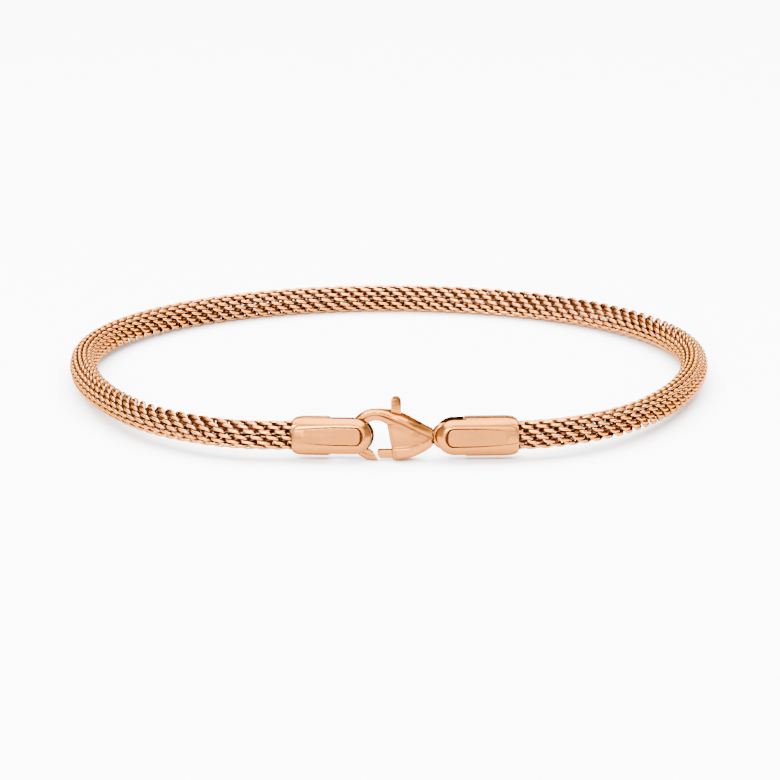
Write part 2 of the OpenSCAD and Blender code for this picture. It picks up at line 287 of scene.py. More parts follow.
def quarter_arcs(width, depth, corner_r):
    """Radius and turn of the three arcs of a quarter loop, from its side to its end."""
    side_cos, side_sin = math.cos(SIDE_END), math.sin(SIDE_END)
    end_cos, end_sin = math.cos(CORNER_END), math.sin(CORNER_END)
    x = width - corner_r * (side_cos - end_cos)
    y = depth - corner_r * (end_sin - side_sin)
    scale = (1 - side_cos) * (1 - end_sin) - end_cos * side_sin
    side_r = (x * (1 - end_sin) - end_cos * y) / scale
    end_r = ((1 - side_cos) * y - side_sin * x) / scale
    return [(side_r, SIDE_END), (corner_r, CORNER_END - SIDE_END), (end_r, math.pi / 2 - CORNER_END)]


class LoopRoute:
    """The middle line of the mesh, from the left cap by the back to the right cap."""

    def __init__(self):
        front = quarter_arcs(LOOP_WIDTH / 2 - STRAIGHT_FRONT, LOOP_FRONT, FRONT_CORNER_R)
        back = quarter_arcs(LOOP_WIDTH / 2, LOOP_BACK, BACK_CORNER_R)
        left_end = LEFT_MOUTH_X + SOCKET_DEPTH
        right_end = RIGHT_MOUTH_X - SOCKET_DEPTH
        stretches = [(None, STRAIGHT_FRONT + left_end)]
        stretches += front[::-1] + back + back[::-1] + front
        stretches += [(None, STRAIGHT_FRONT - right_end)]
        self.stretches = []
        point = Vector((left_end, -LOOP_FRONT))
        out = -math.pi / 2
        start = 0.0
        for radius, size in stretches:
            length = size if radius is None else radius * size
            self.stretches.append((start, radius, point.copy(), out))
            start += length
            if radius is None:
                point = point + length * Vector((math.sin(out), -math.cos(out)))
            else:
                middle = point - radius * Vector((math.cos(out), math.sin(out)))
                out -= size
                point = middle + radius * Vector((math.cos(out), math.sin(out)))
        self.length = start

    def at(self, s):
        """Place on the middle line and the direction straight outwards, at a distance along it."""
        found = [stretch for stretch in self.stretches if stretch[0] <= s] or self.stretches[:1]
        start, radius, point, out = found[-1]
        if radius is None:
            place = point + (s - start) * Vector((math.sin(out), -math.cos(out)))
            return place, Vector((math.cos(out), math.sin(out)))
        middle = point - radius * Vector((math.cos(out), math.sin(out)))
        turned = out - (s - start) / radius
        outwards = Vector((math.cos(turned), math.sin(turned)))
        return middle + radius * outwards, outwards


CLASP_PLACE = Matrix.Translation((HOOK_X, CLASP_Y - CENTRE_Y, AXIS_Z + HOOK_Z))
ROUTE = LoopRoute()
MESH_PLACE = (
    Matrix.Translation((0, -LOOP_FRONT - CENTRE_Y, AXIS_Z))
    @ Matrix.Rotation(-MESH_TILT, 4, "X")
    @ Matrix.Translation((0, LOOP_FRONT, 0))
)


def on_mesh(s, radius, angle):
    """A point round the mesh tube: angle 0 faces out of the loop and 90 degrees up."""
    place, outwards = ROUTE.at(s)
    side = place + outwards * (radius * math.cos(angle))
    return MESH_PLACE @ Vector((side.x, side.y, radius * math.sin(angle)))


def coil_turn():
    """One turn of a flattened coil: places along the tube, heights in the wall, shares of the pitch."""
    limb = COIL_LENGTH / 2 - END_REACH
    turn = []
    for side in (1, -1):
        base = 0.0 if side == 1 else 0.5
        for i in range(LIMB_STEPS):
            part = i / LIMB_STEPS
            turn.append((side * (2 * limb * part - limb), side * COIL_DEPTH / 2, base + LIMB_SHARE * part))
        for i in range(ARC_STEPS):
            part = i / ARC_STEPS
            along = side * (limb + END_REACH * math.sin(math.pi * part))
            height = side * COIL_DEPTH / 2 * math.cos(math.pi * part)
            turn.append((along, height, base + LIMB_SHARE + (0.5 - LIMB_SHARE) * part))
    return turn


def finished(obj, body, material, replaced):
    """Gives a made object its finish and says which body it rides on and which solid it replaces."""
    obj.data.materials.clear()
    obj.data.materials.append(material)
    for polygon in obj.data.polygons:
        polygon.use_smooth = True
    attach(obj, body)
    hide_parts(replaced)


def wire_piece(name, wire):
    """A bent wire as a mesh. The wire is a list of its points and the tube's middle at each."""
    curve = bpy.data.curves.new(name + "_line", "CURVE")
    curve.dimensions = "3D"
    curve.twist_mode = "MINIMUM"
    curve.bevel_depth = WIRE_D / 2 * MM
    curve.bevel_resolution = 1
    spline = curve.splines.new("POLY")
    spline.points.add(len(wire) - 1)
    spline.points.foreach_set("co", [c for point, middle in wire for c in (*(point * MM), 1.0)])
    line = bpy.data.objects.new(name + "_line", curve)
    bpy.context.collection.objects.link(line)
    bpy.context.view_layer.update()
    mesh = bpy.data.meshes.new_from_object(line.evaluated_get(bpy.context.evaluated_depsgraph_get()))
    bpy.data.objects.remove(line)
    bpy.data.curves.remove(curve)
    mesh.name = name
    mark_painted_shade(mesh, [middle for point, middle in wire])
    obj = bpy.data.objects.new(name, mesh)
    bpy.context.collection.objects.link(obj)
    return obj


def into_cap(middle):
    """How far a place on the mesh's middle line has gone into a cap: 0 outside, 1 from its mouth on."""
    if middle.y > 0:
        return 0
    left = smooth_step(middle.x, LEFT_MOUTH_X - MOUTH_SHADOW_BAND, LEFT_MOUTH_X)
    right = smooth_step(RIGHT_MOUTH_X + MOUTH_SHADOW_BAND - middle.x, 0, MOUTH_SHADOW_BAND)
    return min(left, right)


def mark_painted_shade(mesh, middles):
    """Marks a woven mesh for painted shade: 0 outside and 1 inside the wall, and more where it enters a
    cap, as a painted shadow.
    """
    sides = len(mesh.vertices) // len(middles)
    painted_shade = mesh.attributes.new("painted_shade", "FLOAT", "POINT")
    wall = WIRE_D + COIL_DEPTH
    # Painted shadow where the mesh enters a cap
    mouth_shadow = [MOUTH_PAINTED_SHADOW * into_cap(middle) for middle in middles]
    depths = []
    for vertex in mesh.vertices:
        place = vertex.index // sides
        depths.append((MESH_R - (vertex.co / MM - middles[place]).length) / wall + mouth_shadow[place])
    painted_shade.data.foreach_set("value", depths)


def woven_mesh(material):
    """The mesh tube as one long coil, in a few pieces end to end."""
    turn = coil_turn()
    middle_r = MESH_R - WIRE_D / 2 - COIL_DEPTH / 2
    end = COIL_LENGTH / 2
    advance = ROUND_SPACING / TURNS_A_ROUND
    count = int((ROUTE.length - 2 * end) / advance)
    wire = []
    for n in range(count):
        for along, height, share in turn:
            s = ROUTE.length - end - (n + share) * advance + along
            angle = 2 * math.pi / TURNS_A_ROUND * (n + share)
            wire.append((on_mesh(s, middle_r + height, angle), on_mesh(s, 0, 0)))
    per_piece = math.ceil(len(wire) / MESH_PIECES)
    for k in range(MESH_PIECES):
        piece = wire_piece(f"woven_mesh_{k + 1}", wire[k * per_piece:(k + 1) * per_piece + 1])
        finished(piece, "bracelet", material, "mesh_tube")


def standing_face(corners, y):
    """A new mesh with one face standing across Y. Each corner is (x, z, radius, steps of its arc)."""
    mesh = bmesh.new()
    mesh.faces.new([mesh.verts.new((x, y, z)) for x, z, radius, steps in corners])
    mesh.verts.ensure_lookup_table()
    for vertex, (x, z, radius, steps) in zip(list(mesh.verts), corners):
        if radius:
            bmesh.ops.bevel(
                mesh, geom=[vertex], offset=radius, offset_type="OFFSET", segments=steps,
                profile=0.5, affect="VERTICES", material=-1,
            )
    bmesh.ops.remove_doubles(mesh, verts=mesh.verts, dist=TOUCH)
    mesh.faces.ensure_lookup_table()
    return mesh


def drawn_out(mesh, face):
    """Extrudes a face in place and gives back its new front. Only the very first face stays behind."""
    first = all(edge.is_boundary for edge in face.edges)
    made = bmesh.ops.extrude_face_region(mesh, geom=[face])["geom"]
    front = next(item for item in made if isinstance(item, bmesh.types.BMFace))
    if not first:
        bmesh.ops.delete(mesh, geom=[face], context="FACES_ONLY")
    return front


def carried(mesh, face, y):
    """Carries a face on to another Y with walls behind it, and gives back the face."""
    front = drawn_out(mesh, face)
    for vertex in front.verts:
        vertex.co.y = y
    return front


def rounded(mesh, edges, width, steps):
    """Rounds edges over a width."""
    bmesh.ops.bevel(
        mesh, geom=list(edges), offset=width, offset_type="OFFSET", segments=steps,
        profile=0.5, affect="EDGES", material=-1, clamp_overlap=True,
    )


def sharp_edges(mesh, from_angle):
    """Shades every edge smooth that turns less than an angle."""
    for edge in mesh.edges:
        edge.smooth = len(edge.link_faces) == 2 and edge.calc_face_angle(0) < from_angle


def cut_near_mouth(mesh):
    """Cuts a mesh across near the mouth, closer together towards it."""
    for i in range(1, MOUTH_CUTS + 1):
        geometry = [*mesh.verts, *mesh.edges, *mesh.faces]
        place = (MOUTH_LENGTH * (i / MOUTH_CUTS) ** 2, 0, 0)
        bmesh.ops.bisect_plane(mesh, geom=geometry, plane_co=place, plane_no=(1, 0, 0))


def mouth_fall(x):
    """How far the quarter round at a cap's mouth has fallen at x: 1 at the mouth, 0 well inside."""
    share = min(1, max(0, x) / MOUTH_LENGTH)
    return 1 - math.sqrt(1 - (1 - share) ** 2)


def dropped_at_mouth(mesh):
    """Curves the front of a mesh back towards the mouth."""
    cut_near_mouth(mesh)
    for vertex in mesh.verts:
        if vertex.co.y < -SLOT_WIDTH / 2 - TOUCH:
            vertex.co.y += MOUTH_DROP * mouth_fall(vertex.co.x)


def panel_half_height(x):
    """Half the height of the panel, which swells from the mouth on."""
    share = math.sin(math.pi / 2 * min(1, max(0, x) / PANEL_SWELLS_TO))
    return (PANEL_MOUTH_HEIGHT + (PANEL_END_HEIGHT - PANEL_MOUTH_HEIGHT) * share) / 2


def crease(x):
    """The gap round the panel, which opens from the mouth towards the cap's round end."""
    return CREASE_AT_MOUTH + (CREASE_AT_END - CREASE_AT_MOUTH) * min(1, max(0, x) / POCKET_TO)


def along_cap(end, height):
    """Corners along a cap's lower edge, for outlines that swell."""
    places = [end * i / OUTLINE_PARTS for i in range(1, OUTLINE_PARTS - 1)]
    return [(x, -height(x), 0, 0) for x in places]


def other_side(corners):
    """The corners of a lower edge again as the upper edge, in the order that closes the outline."""
    return [(x, -z, radius, steps) for x, z, radius, steps in reversed(corners)]


def cap_plate():
    """One side of a cap: a rounded plate with a wide swelling bevel round a pocket, with painted shade on
    its side in the slot and on the pocket's floor.
    """
    half = CAP_HEIGHT / 2
    lower = [
        (0, -half, MOUTH_CORNER_R, 5),
        *along_cap(CAP_LENGTH - half, lambda x: half),
        (CAP_LENGTH, -half, half - HAIR, 10),
    ]
    mesh = standing_face(lower + other_side(lower), -SLOT_WIDTH / 2)
    rim_x = mesh.verts.layers.float.new("rim_x")
    rim_z = mesh.verts.layers.float.new("rim_z")
    for vertex in mesh.verts:
        vertex[rim_x] = vertex.co.x
        vertex[rim_z] = vertex.co.z
    # Painted shade: full on the plate's side in the slot and cleared past it
    painted_shade = mesh.verts.layers.float.new("painted_shade")
    for vertex in mesh.verts:
        vertex[painted_shade] = 1
    face = carried(mesh, mesh.faces[0], -SLOT_WIDTH / 2 - SLOT_SIDE_SHADE_TO)
    face = carried(mesh, face, -SLOT_WIDTH / 2 - SLOT_SIDE_UNSHADED_FROM)
    for vertex in face.verts:
        vertex[painted_shade] = 0
    face = carried(mesh, face, -RIM_THICKNESS / 2)
    rim_edges = list(face.edges)
    for k in range(1, BEVEL_STEPS + 1):
        part = k / BEVEL_STEPS
        swell = (CAP_THICKNESS - RIM_THICKNESS) / 2 * math.sin(math.pi / 2 * part)
        face = carried(mesh, face, -RIM_THICKNESS / 2 - swell)
        for vertex in face.verts:
            pocket_x = POCKET_TO * vertex[rim_x] / CAP_LENGTH
            height = panel_half_height(pocket_x) + crease(pocket_x)
            share = min(1, POCKET_FULLNESS * abs(vertex[rim_z]) / half)
            pocket_z = math.copysign(share * height, vertex[rim_z])
            vertex.co.x = vertex[rim_x] + (pocket_x - vertex[rim_x]) * part
            vertex.co.z = vertex[rim_z] + (pocket_z - vertex[rim_z]) * part
    pocket_edges = list(face.edges)
    bmesh.ops.recalc_face_normals(mesh, faces=mesh.faces)
    face = carried(mesh, face, -CAP_THICKNESS / 2 + POCKET_LIP)
    face = carried(mesh, face, -CAP_THICKNESS / 2 + POCKET_SINK)
    # Painted shade on the pocket's floor
    for vertex in face.verts:
        vertex[painted_shade] = 1
    rounded(mesh, rim_edges, RIM_EDGE_R, 4)
    rounded(mesh, [edge for edge in pocket_edges if edge.is_valid], POCKET_EDGE_R, 3)
    dropped_at_mouth(mesh)
    mesh.verts.layers.float.remove(mesh.verts.layers.float["rim_x"])
    mesh.verts.layers.float.remove(mesh.verts.layers.float["rim_z"])
    sharp_edges(mesh, SHARP_FROM)
    return mesh


def cap_panel():
    """The bare panel that lies in the pocket, with painted shade on its sides down in the crease."""
    lower = [
        (PANEL_FROM, -panel_half_height(PANEL_FROM), PANEL_MOUTH_CORNER_R, 2),
        *along_cap(PANEL_TO, panel_half_height),
        (PANEL_TO, -panel_half_height(PANEL_TO), PANEL_CORNER_R, 6),
    ]
    mesh = standing_face(lower + other_side(lower), -CAP_THICKNESS / 2 + POCKET_SINK + PANEL_FOOT)
    # Painted shade: full at the panel's foot, none on its top
    painted_shade = mesh.verts.layers.float.new("painted_shade")
    for vertex in mesh.verts:
        vertex[painted_shade] = 1
    top = carried(mesh, mesh.faces[0], -CAP_THICKNESS / 2)
    for vertex in top.verts:
        vertex[painted_shade] = 0
    bmesh.ops.recalc_face_normals(mesh, faces=mesh.faces)
    rounded(mesh, top.edges, PANEL_EDGE_R, 4)
    dropped_at_mouth(mesh)
    sharp_edges(mesh, SHARP_FROM)
    return mesh


def cap_core(length):
    """The closed half of a cap, with the socket that the mesh ends in, and painted shade on its sides
    under the pockets.
    """
    mesh = bmesh.new()
    size = Matrix.Diagonal((length, CORE_THICKNESS, CORE_HEIGHT, 1))
    bmesh.ops.create_cube(mesh, size=1, matrix=Matrix.Translation((length / 2, 0, 0)) @ size)
    along = [edge for edge in mesh.edges if abs(edge.verts[0].co.x - edge.verts[1].co.x) > TOUCH]
    rounded(mesh, along, CORE_EDGE_R, 6)
    end = [edge for edge in mesh.edges if min(v.co.x for v in edge.verts) > length - TOUCH]
    rounded(mesh, end, CORE_END_R, 4)
    mouth = next(face for face in mesh.faces if max(v.co.x for v in face.verts) < TOUCH)
    mouth_edges = list(mouth.edges)
    mesh.faces.remove(mouth)
    turned = Matrix.Rotation(math.pi / 2, 4, "Y")
    circle = bmesh.ops.create_circle(
        mesh, cap_ends=False, radius=SOCKET_R, segments=SOCKET_SIDES, matrix=turned,
    )
    ring = [edge for edge in mesh.edges if edge.verts[0] in circle["verts"]]
    bmesh.ops.triangle_fill(mesh, edges=mouth_edges + ring, use_beauty=True)
    wall = bmesh.ops.extrude_edge_only(mesh, edges=ring)["geom"]
    inner = [item for item in wall if isinstance(item, bmesh.types.BMEdge)]
    for vertex in [item for item in wall if isinstance(item, bmesh.types.BMVert)]:
        vertex.co.x = SOCKET_DEPTH
    bmesh.ops.holes_fill(mesh, edges=inner)
    bmesh.ops.recalc_face_normals(mesh, faces=mesh.faces)
    cut_near_mouth(mesh)
    # Painted shade on the core's sides under the pockets
    painted_shade = mesh.verts.layers.float.new("painted_shade")
    for vertex in mesh.verts:
        x, y, z = vertex.co
        under_pocket = abs(y) > CORE_SIDE_Y and abs(z) < CORE_SIDE_Z and x > MOUTH_LENGTH + TOUCH
        vertex[painted_shade] = 1 if under_pocket else 0
        if math.hypot(y, z) > SOCKET_R + TOUCH / 2:
            outside = abs(z) / CORE_HEIGHT * 2
            vertex.co.z *= 1 - MOUTH_TAPER / CORE_HEIGHT * 2 * outside * mouth_fall(x)
    sharp_edges(mesh, SHARP_FROM)
    return mesh


def cap_bar(place, diameter):
    """The round bar across the open end, that the clasp goes round."""
    mesh = bmesh.new()
    lying = Matrix.Translation((place, 0, 0)) @ Matrix.Rotation(math.pi / 2, 4, "X")
    bmesh.ops.create_cone(
        mesh, cap_ends=True, segments=BAR_SIDES, radius1=diameter / 2, radius2=diameter / 2,
        depth=SLOT_WIDTH + 2 * BAR_IN_PLATE, matrix=lying,
    )
    sharp_edges(mesh, SHARP_FROM)
    return mesh


def joined(name, parts, place):
    """Some meshes in millimetres as one object, each with its own placing in it."""
    whole = bmesh.new()
    for part, turn in parts:
        if "painted_shade" not in part.verts.layers.float:
            part.verts.layers.float.new("painted_shade")
        bmesh.ops.transform(part, matrix=turn, verts=part.verts)
        if turn.determinant() < 0:
            bmesh.ops.reverse_faces(part, faces=part.faces)
        single = bpy.data.meshes.new(name)
        part.to_mesh(single)
        part.free()
        whole.from_mesh(single)
        bpy.data.meshes.remove(single)
    bmesh.ops.transform(whole, matrix=Matrix.Scale(MM, 4) @ place, verts=whole.verts)
    if place.determinant() < 0:
        bmesh.ops.reverse_faces(whole, faces=whole.faces)
    data = bpy.data.meshes.new(name)
    whole.to_mesh(data)
    whole.free()
    obj = bpy.data.objects.new(name, data)
    bpy.context.collection.objects.link(obj)
    weighted = obj.modifiers.new("even_shading", "WEIGHTED_NORMAL")
    weighted.keep_sharp = True
    return obj


def end_cap(name, sizes, mouth_x, direction, material):
    """A whole cap in its place. Its direction is 1 along X or -1 against it."""
    near = Matrix.Scale(sizes["near"], 4, (1, 0, 0))
    far = FLIPPED @ Matrix.Scale(sizes["far"], 4, (1, 0, 0))
    place = (
        Matrix.Translation((mouth_x + direction * CAP_TURNS_AT, -LOOP_FRONT - CENTRE_Y, AXIS_Z))
        @ Matrix.Rotation(math.radians(sizes["turn"]), 4, "Z")
        @ Matrix.Rotation(math.radians(sizes["roll"]), 4, "X")
        @ Matrix.Translation((-direction * CAP_TURNS_AT, 0, 0))
        @ Matrix.Scale(direction, 4, (1, 0, 0))
    )
    cap = joined("polished_" + name, [
        (cap_core(sizes["core"]), AS_DRAWN),
        (cap_plate(), near),
        (cap_panel(), near),
        (cap_plate(), far),
        (cap_panel(), far),
        (cap_bar(sizes["bar"], sizes["bar_d"]), AS_DRAWN),
    ], place)
    finished(cap, "bracelet", material, name)


def arc(middle, radius, start, end, steps):
    """Places (x, z) round a circle, from one angle in degrees to another."""
    angles = [math.radians(start + (end - start) * i / steps) for i in range(steps + 1)]
    return [(middle[0] + radius * math.cos(a), middle[1] + radius * math.sin(a)) for a in angles]


def smooth_step(value, start, end):
    """Goes from 0 to 1 as a value goes from start to end, level at both."""
    share = min(1, max(0, (value - start) / (end - start)))
    return share * share * (3 - 2 * share)


def rise(depth, width):
    """A quarter round: 0 at an edge and 1 from a width inside it."""
    share = min(1, max(0, depth / width))
    return math.sqrt(1 - (1 - share) ** 2)


def dent(distance, width):
    """Is 1 on a line and fades to nothing on both sides over a width."""
    return math.exp(-(distance / width) ** 2)


def sculpted(outline, height, shade, inner):
    """A relief over an outline: a front at one height, a back at another, and a painted shade on both."""
    mesh = bmesh.new()
    painted_shade = mesh.verts.layers.float.new("painted_shade")
    mesh.faces.new([mesh.verts.new((x, 0, z)) for x, z in outline])
    for axis in (0, 2):
        values = [v.co[axis] for v in mesh.verts]
        direction = Vector((1, 0, 0)) if axis == 0 else Vector((0, 0, 1))
        for i in range(1, math.ceil((max(values) - min(values)) / CUT_SPACING)):
            place = direction * (min(values) + CUT_SPACING * i)
            geometry = [*mesh.verts, *mesh.edges, *mesh.faces]
            bmesh.ops.bisect_plane(
                mesh, geom=geometry, plane_co=place, plane_no=direction, dist=CUT_MERGE,
            )
    made = bmesh.ops.extrude_face_region(mesh, geom=list(mesh.faces))["geom"]
    front_verts = {item for item in made if isinstance(item, bmesh.types.BMVert)}
    for vertex in mesh.verts:
        x, y, z = vertex.co
        vertex[painted_shade] = PAINTED_SHADE_FROM + shade(x, z) * (PAINTED_SHADE_TO - PAINTED_SHADE_FROM)
        vertex.co.y = -height(x, z) if vertex in front_verts else -inner(x)
    bmesh.ops.recalc_face_normals(mesh, faces=mesh.faces)
    sharp_edges(mesh, RELIEF_SHARP_FROM)
    return mesh


def clasp_outline():
    """The clasp from the side, from the hook's tip over the back to the nose and home again."""
    outside = arc((0, 0), HOOK_R, TIP_LOW_ANGLE, -270, 60)
    back = arc(BACK_MIDDLE, BACK_R, 88, 63.2, 16)
    nose = [tuple(NOSE_TOP), (NOSE_TOP.x + 0.16, 0.2)]
    nose += [(NOSE_TOP.x + NOSE_REACH, -0.3), (NOSE_TOP.x + 0.1, -0.8)]
    belly = arc(BELLY_MIDDLE, BELLY_R, -51.5, -91.8, 20)
    inside = arc(HOOK_INSIDE_MIDDLE, HOOK_INSIDE_R, 56, 241.2, 40)
    return outside + back + nose + belly + [tuple(EDGE_TOP)] + inside + [TIP_TOP]


def slot_side(x):
    """Where the inner side of a half of the clasp lies: at the middle, or beside the lever's slot."""
    return 0 if x < SLOT_FROM else SLOT_HALF


def clasp_distances(x, z):
    """Whether a place is on the clasp's body, and how far inside its back, hook, belly and nose."""
    place = Vector((x, z))
    slope = (EDGE_LOW - EDGE_TOP).normalized()
    left = slope.x * (z - EDGE_TOP.y) - slope.y * (x - EDGE_TOP.x)
    in_body = left > -EDGE_SLACK and (place - EDGE_TOP).dot(slope) > 0
    if x > BACK_STRAIGHT_FROM.x:
        along = (NOSE_TOP - BACK_STRAIGHT_FROM).normalized()
        back = along.x * (BACK_STRAIGHT_FROM.y - z) + along.y * (x - BACK_STRAIGHT_FROM.x)
    elif in_body or (x > 0 and z > 0):
        back = BACK_R - (place - BACK_MIDDLE).length
    else:
        back = HOOK_R - place.length
    if not in_body:
        return in_body, back, (place - HOOK_INSIDE_MIDDLE).length - HOOK_INSIDE_R, BELLY_R, BELLY_R
    return in_body, back, left, BELLY_R - (place - BELLY_MIDDLE).length, NOSE_TOP.x + NOSE_REACH - x


def belly_band(x):
    """The width of the band along the belly, which narrows towards the nose."""
    return BAND_WIDTH - BAND_NARROWING * (x - BAND_WIDEST_X) ** 2


def step_share(x):
    """How full the step under the ridge is: 0 on the hook and 1 on the body."""
    return smooth_step(x, *STEP_FILLS_OVER)


def clasp_height(x, z):
    """A ridge runs from the hook along the back, over a cheek with a band along the belly."""
    in_body, back, inside, belly, nose = clasp_distances(x, z)
    half = HOOK_THICKNESS / 2 + BODY_SWELL * smooth_step(x, *BODY_SWELLS_OVER)
    half -= TAIL_FALL * smooth_step(x, *TAIL_FALLS_OVER)
    wide = BACK_EDGE + BACK_EDGE_GROWS_BY * smooth_step(x, *BACK_EDGE_GROWS_OVER)
    lip = BODY_LIP if in_body else HOOK_LIP
    edge = min(rise(back, wide), rise(inside, lip), rise(belly, BELLY_EDGE), rise(nose, NOSE_EDGE))
    base = max(EDGE_SHARE * half, slot_side(x + SLOT_WALL) + THIN_WALL)
    full = step_share(x)
    drop = smooth_step(back, STEP_FROM, STEP_TO + STEP_WIDENS_BY * full)
    height = base + (half - base) * edge - drop * (STEP_DROP + STEP_DROP * full)
    if in_body:
        height += CHEEK_RISE * smooth_step(back, *CHEEK_RISES_OVER)
        band = belly_band(x)
        from_knob = Vector((x - KNOB_MIDDLE.x, KNOB_STRETCH * (z - KNOB_MIDDLE.y))).length
        knob = 1 - smooth_step(from_knob, *KNOB_FADES_OVER)
        low = smooth_step(belly, band + CHEEK_FALLS_FROM, band)
        cheek = smooth_step(belly, band - BAND_STEP_FROM, band + BAND_STEP_TO)
        hollow = CHEEK_FALL * low * cheek * (1 - knob)
        height += drop * (BAND_RISE * (1 - cheek) + KNOB_RISE * knob - hollow)
    return height


def clasp_painted_shade(x, z):
    """The clasp's painted shade: 0 where none is painted, more under its ridge, in its creases and low on
    its cheek.
    """
    in_body, back, inside, belly, nose = clasp_distances(x, z)
    full = step_share(x)
    # Painted shade: under the ridge, over the belly band, at the nose, in the lip, and darker low on the
    # cheek
    under_ridge = (0.7 + 0.1 * full) * dent(back - 0.5 - 0.14 * full, 0.07 + 0.08 * full)
    if not in_body:
        return under_ridge
    above_band = belly - belly_band(x)
    over_band = 0.75 * dent(above_band - 0.06, 0.06)
    at_nose = 0.5 * dent(nose - 0.2, 0.07)
    in_lip = 0.35 * dent(inside - 0.3, 0.08) * smooth_step(back, 0.6, 0.9)
    low_cheek = 0.3 * smooth_step(above_band, 1.6, 0.2) * smooth_step(above_band, 0, 0.1)
    return max(under_ridge, over_band, at_nose, in_lip, low_cheek)


def tail_ring(z):
    """The closed ring of round wire at the clasp's tail, in the eye of the right cap."""
    mesh = bmesh.new()
    section = Matrix.Translation((RING_MIDDLE_X + RING_R - RING_WIRE_D / 2, 0, z))
    bmesh.ops.create_circle(
        mesh, cap_ends=False, radius=RING_WIRE_D / 2, segments=RING_SIDES, matrix=section,
    )
    bmesh.ops.spin(
        mesh, geom=[*mesh.verts, *mesh.edges], cent=(RING_MIDDLE_X, 0, z), axis=(0, 1, 0),
        dvec=(0, 0, 0), angle=2 * math.pi, steps=RING_STEPS, use_merge=True,
    )
    bmesh.ops.recalc_face_normals(mesh, faces=mesh.faces)
    sharp_edges(mesh, SHARP_FROM)
    return mesh


def slab(points, half, edge_r=0):
    """A flat plate across Y, half as thick to each side, with sharp corners and rounded edges."""
    mesh = standing_face([(x, z, 0, 0) for x, z in points], half)
    carried(mesh, mesh.faces[0], -half)
    bmesh.ops.recalc_face_normals(mesh, faces=mesh.faces)
    if edge_r:
        across = [edge for edge in mesh.edges if abs(edge.verts[0].co.y - edge.verts[1].co.y) < half]
        rounded(mesh, across, edge_r, 3)
    sharp_edges(mesh, SHARP_FROM)
    return mesh


def clasp_body(material):
    """The hook and body in two halves, what closes the lever's slot between them, and the ring."""
    root = [(0.95, 1.25), (SLOT_FROM + 0.02, 1.25), (SLOT_FROM + 0.02, 2.24), (0.95, 2.32)]
    back = [(4.25, 1.0), (5.2, 0.48), (5.2, 0.1), (4.25, 0.6)]
    belly = arc(BELLY_MIDDLE, BELLY_R, -83, -51.5, 12)
    belly += arc(BELLY_MIDDLE, BELLY_R - BELLY_WALL, -54, -83, 12)
    tail = [(4.2, -1.1), (5.2, -0.9), (5.35, 0.3), (4.2, 0.9)]
    ring_z = -HOOK_Z
    neck = [(4.9, ring_z - 0.55), (5.6, ring_z - 0.45), (5.6, ring_z + 0.45), (4.9, ring_z + 0.55)]
    body = joined("polished_clasp_body", [
        (sculpted(clasp_outline(), clasp_height, clasp_painted_shade, slot_side), AS_DRAWN),
        (sculpted(clasp_outline(), clasp_height, clasp_painted_shade, slot_side), FLIPPED),
        (slab(root, SLOT_HALF + TOUCH), AS_DRAWN),
        (slab(back, SLOT_HALF + TOUCH), AS_DRAWN),
        (slab(belly, SLOT_HALF), AS_DRAWN),
        (slab(tail, SLOT_HALF), AS_DRAWN),
        (slab(neck, RING_WIRE_D / 2, NECK_EDGE_R), AS_DRAWN),
        (tail_ring(ring_z), AS_DRAWN),
    ], CLASP_PLACE)
    finished(body, "bracelet", material, "clasp_body")


def thumb_tab():
    """The tab: a plate that rises from the stem to a rounded top, with a hollow for the thumb and painted
    shade in the hollow.
    """
    mesh = bmesh.new()
    painted_shade = mesh.verts.layers.float.new("painted_shade")
    foot = Matrix.Translation((TAB_X, 0, TAB_FOOT)) @ Matrix.Diagonal((TAB_WIDTH, TAB_THICKNESS, 1, 1))
    bmesh.ops.create_grid(mesh, x_segments=1, y_segments=1, size=0.5, matrix=foot)
    face = mesh.faces[:][0]
    for i in range(1, TAB_STEPS + 1):
        share = i / TAB_STEPS
        z = TAB_FOOT + (TAB_TOP - TAB_FOOT) * math.sin(math.pi / 2 * share)
        below = max(0, z - (TAB_TOP - TAB_WIDTH / 2)) / (TAB_WIDTH / 2)
        half_width = TAB_WIDTH / 2 * math.sqrt(max(TAB_NARROWEST, 1 - below ** 2))
        face = drawn_out(mesh, face)
        for vertex in face.verts:
            vertex.co.x = TAB_X + math.copysign(half_width, vertex.co.x - TAB_X)
            vertex.co.y = math.copysign(TAB_THICKNESS / 2 * (1 - TAB_THINS_BY * below), vertex.co.y)
            vertex.co.z = z
    bmesh.ops.recalc_face_normals(mesh, faces=mesh.faces)
    front = [face for face in mesh.faces if face.normal.y < -0.5]
    bmesh.ops.inset_region(mesh, faces=front, thickness=TAB_RIM, depth=0, use_even_offset=True)
    hollow = {vertex for face in front if face.is_valid for vertex in face.verts}
    for vertex in hollow:
        up = smooth_step(vertex.co.z, TAB_FOOT + 0.4, TAB_TOP - TAB_WIDTH / 2)
        right = smooth_step(vertex.co.x, TAB_X - TAB_WIDTH / 2, TAB_X + TAB_WIDTH / 2)
        vertex.co.y += TAB_SCOOP * up * (0.3 + 0.9 * right)
        # Painted shade in the hollow, darkest at its top right
        vertex[painted_shade] = PAINTED_SHADE_FROM + TAB_PAINTED_SHADE * up * right * (PAINTED_SHADE_TO - PAINTED_SHADE_FROM)
    corners = [edge for edge in mesh.edges if edge.calc_face_angle(0) > TAB_EDGE_FROM]
    rounded(mesh, corners, TAB_EDGE_R, 3)
    sharp_edges(mesh, SHARP_FROM)
    return mesh


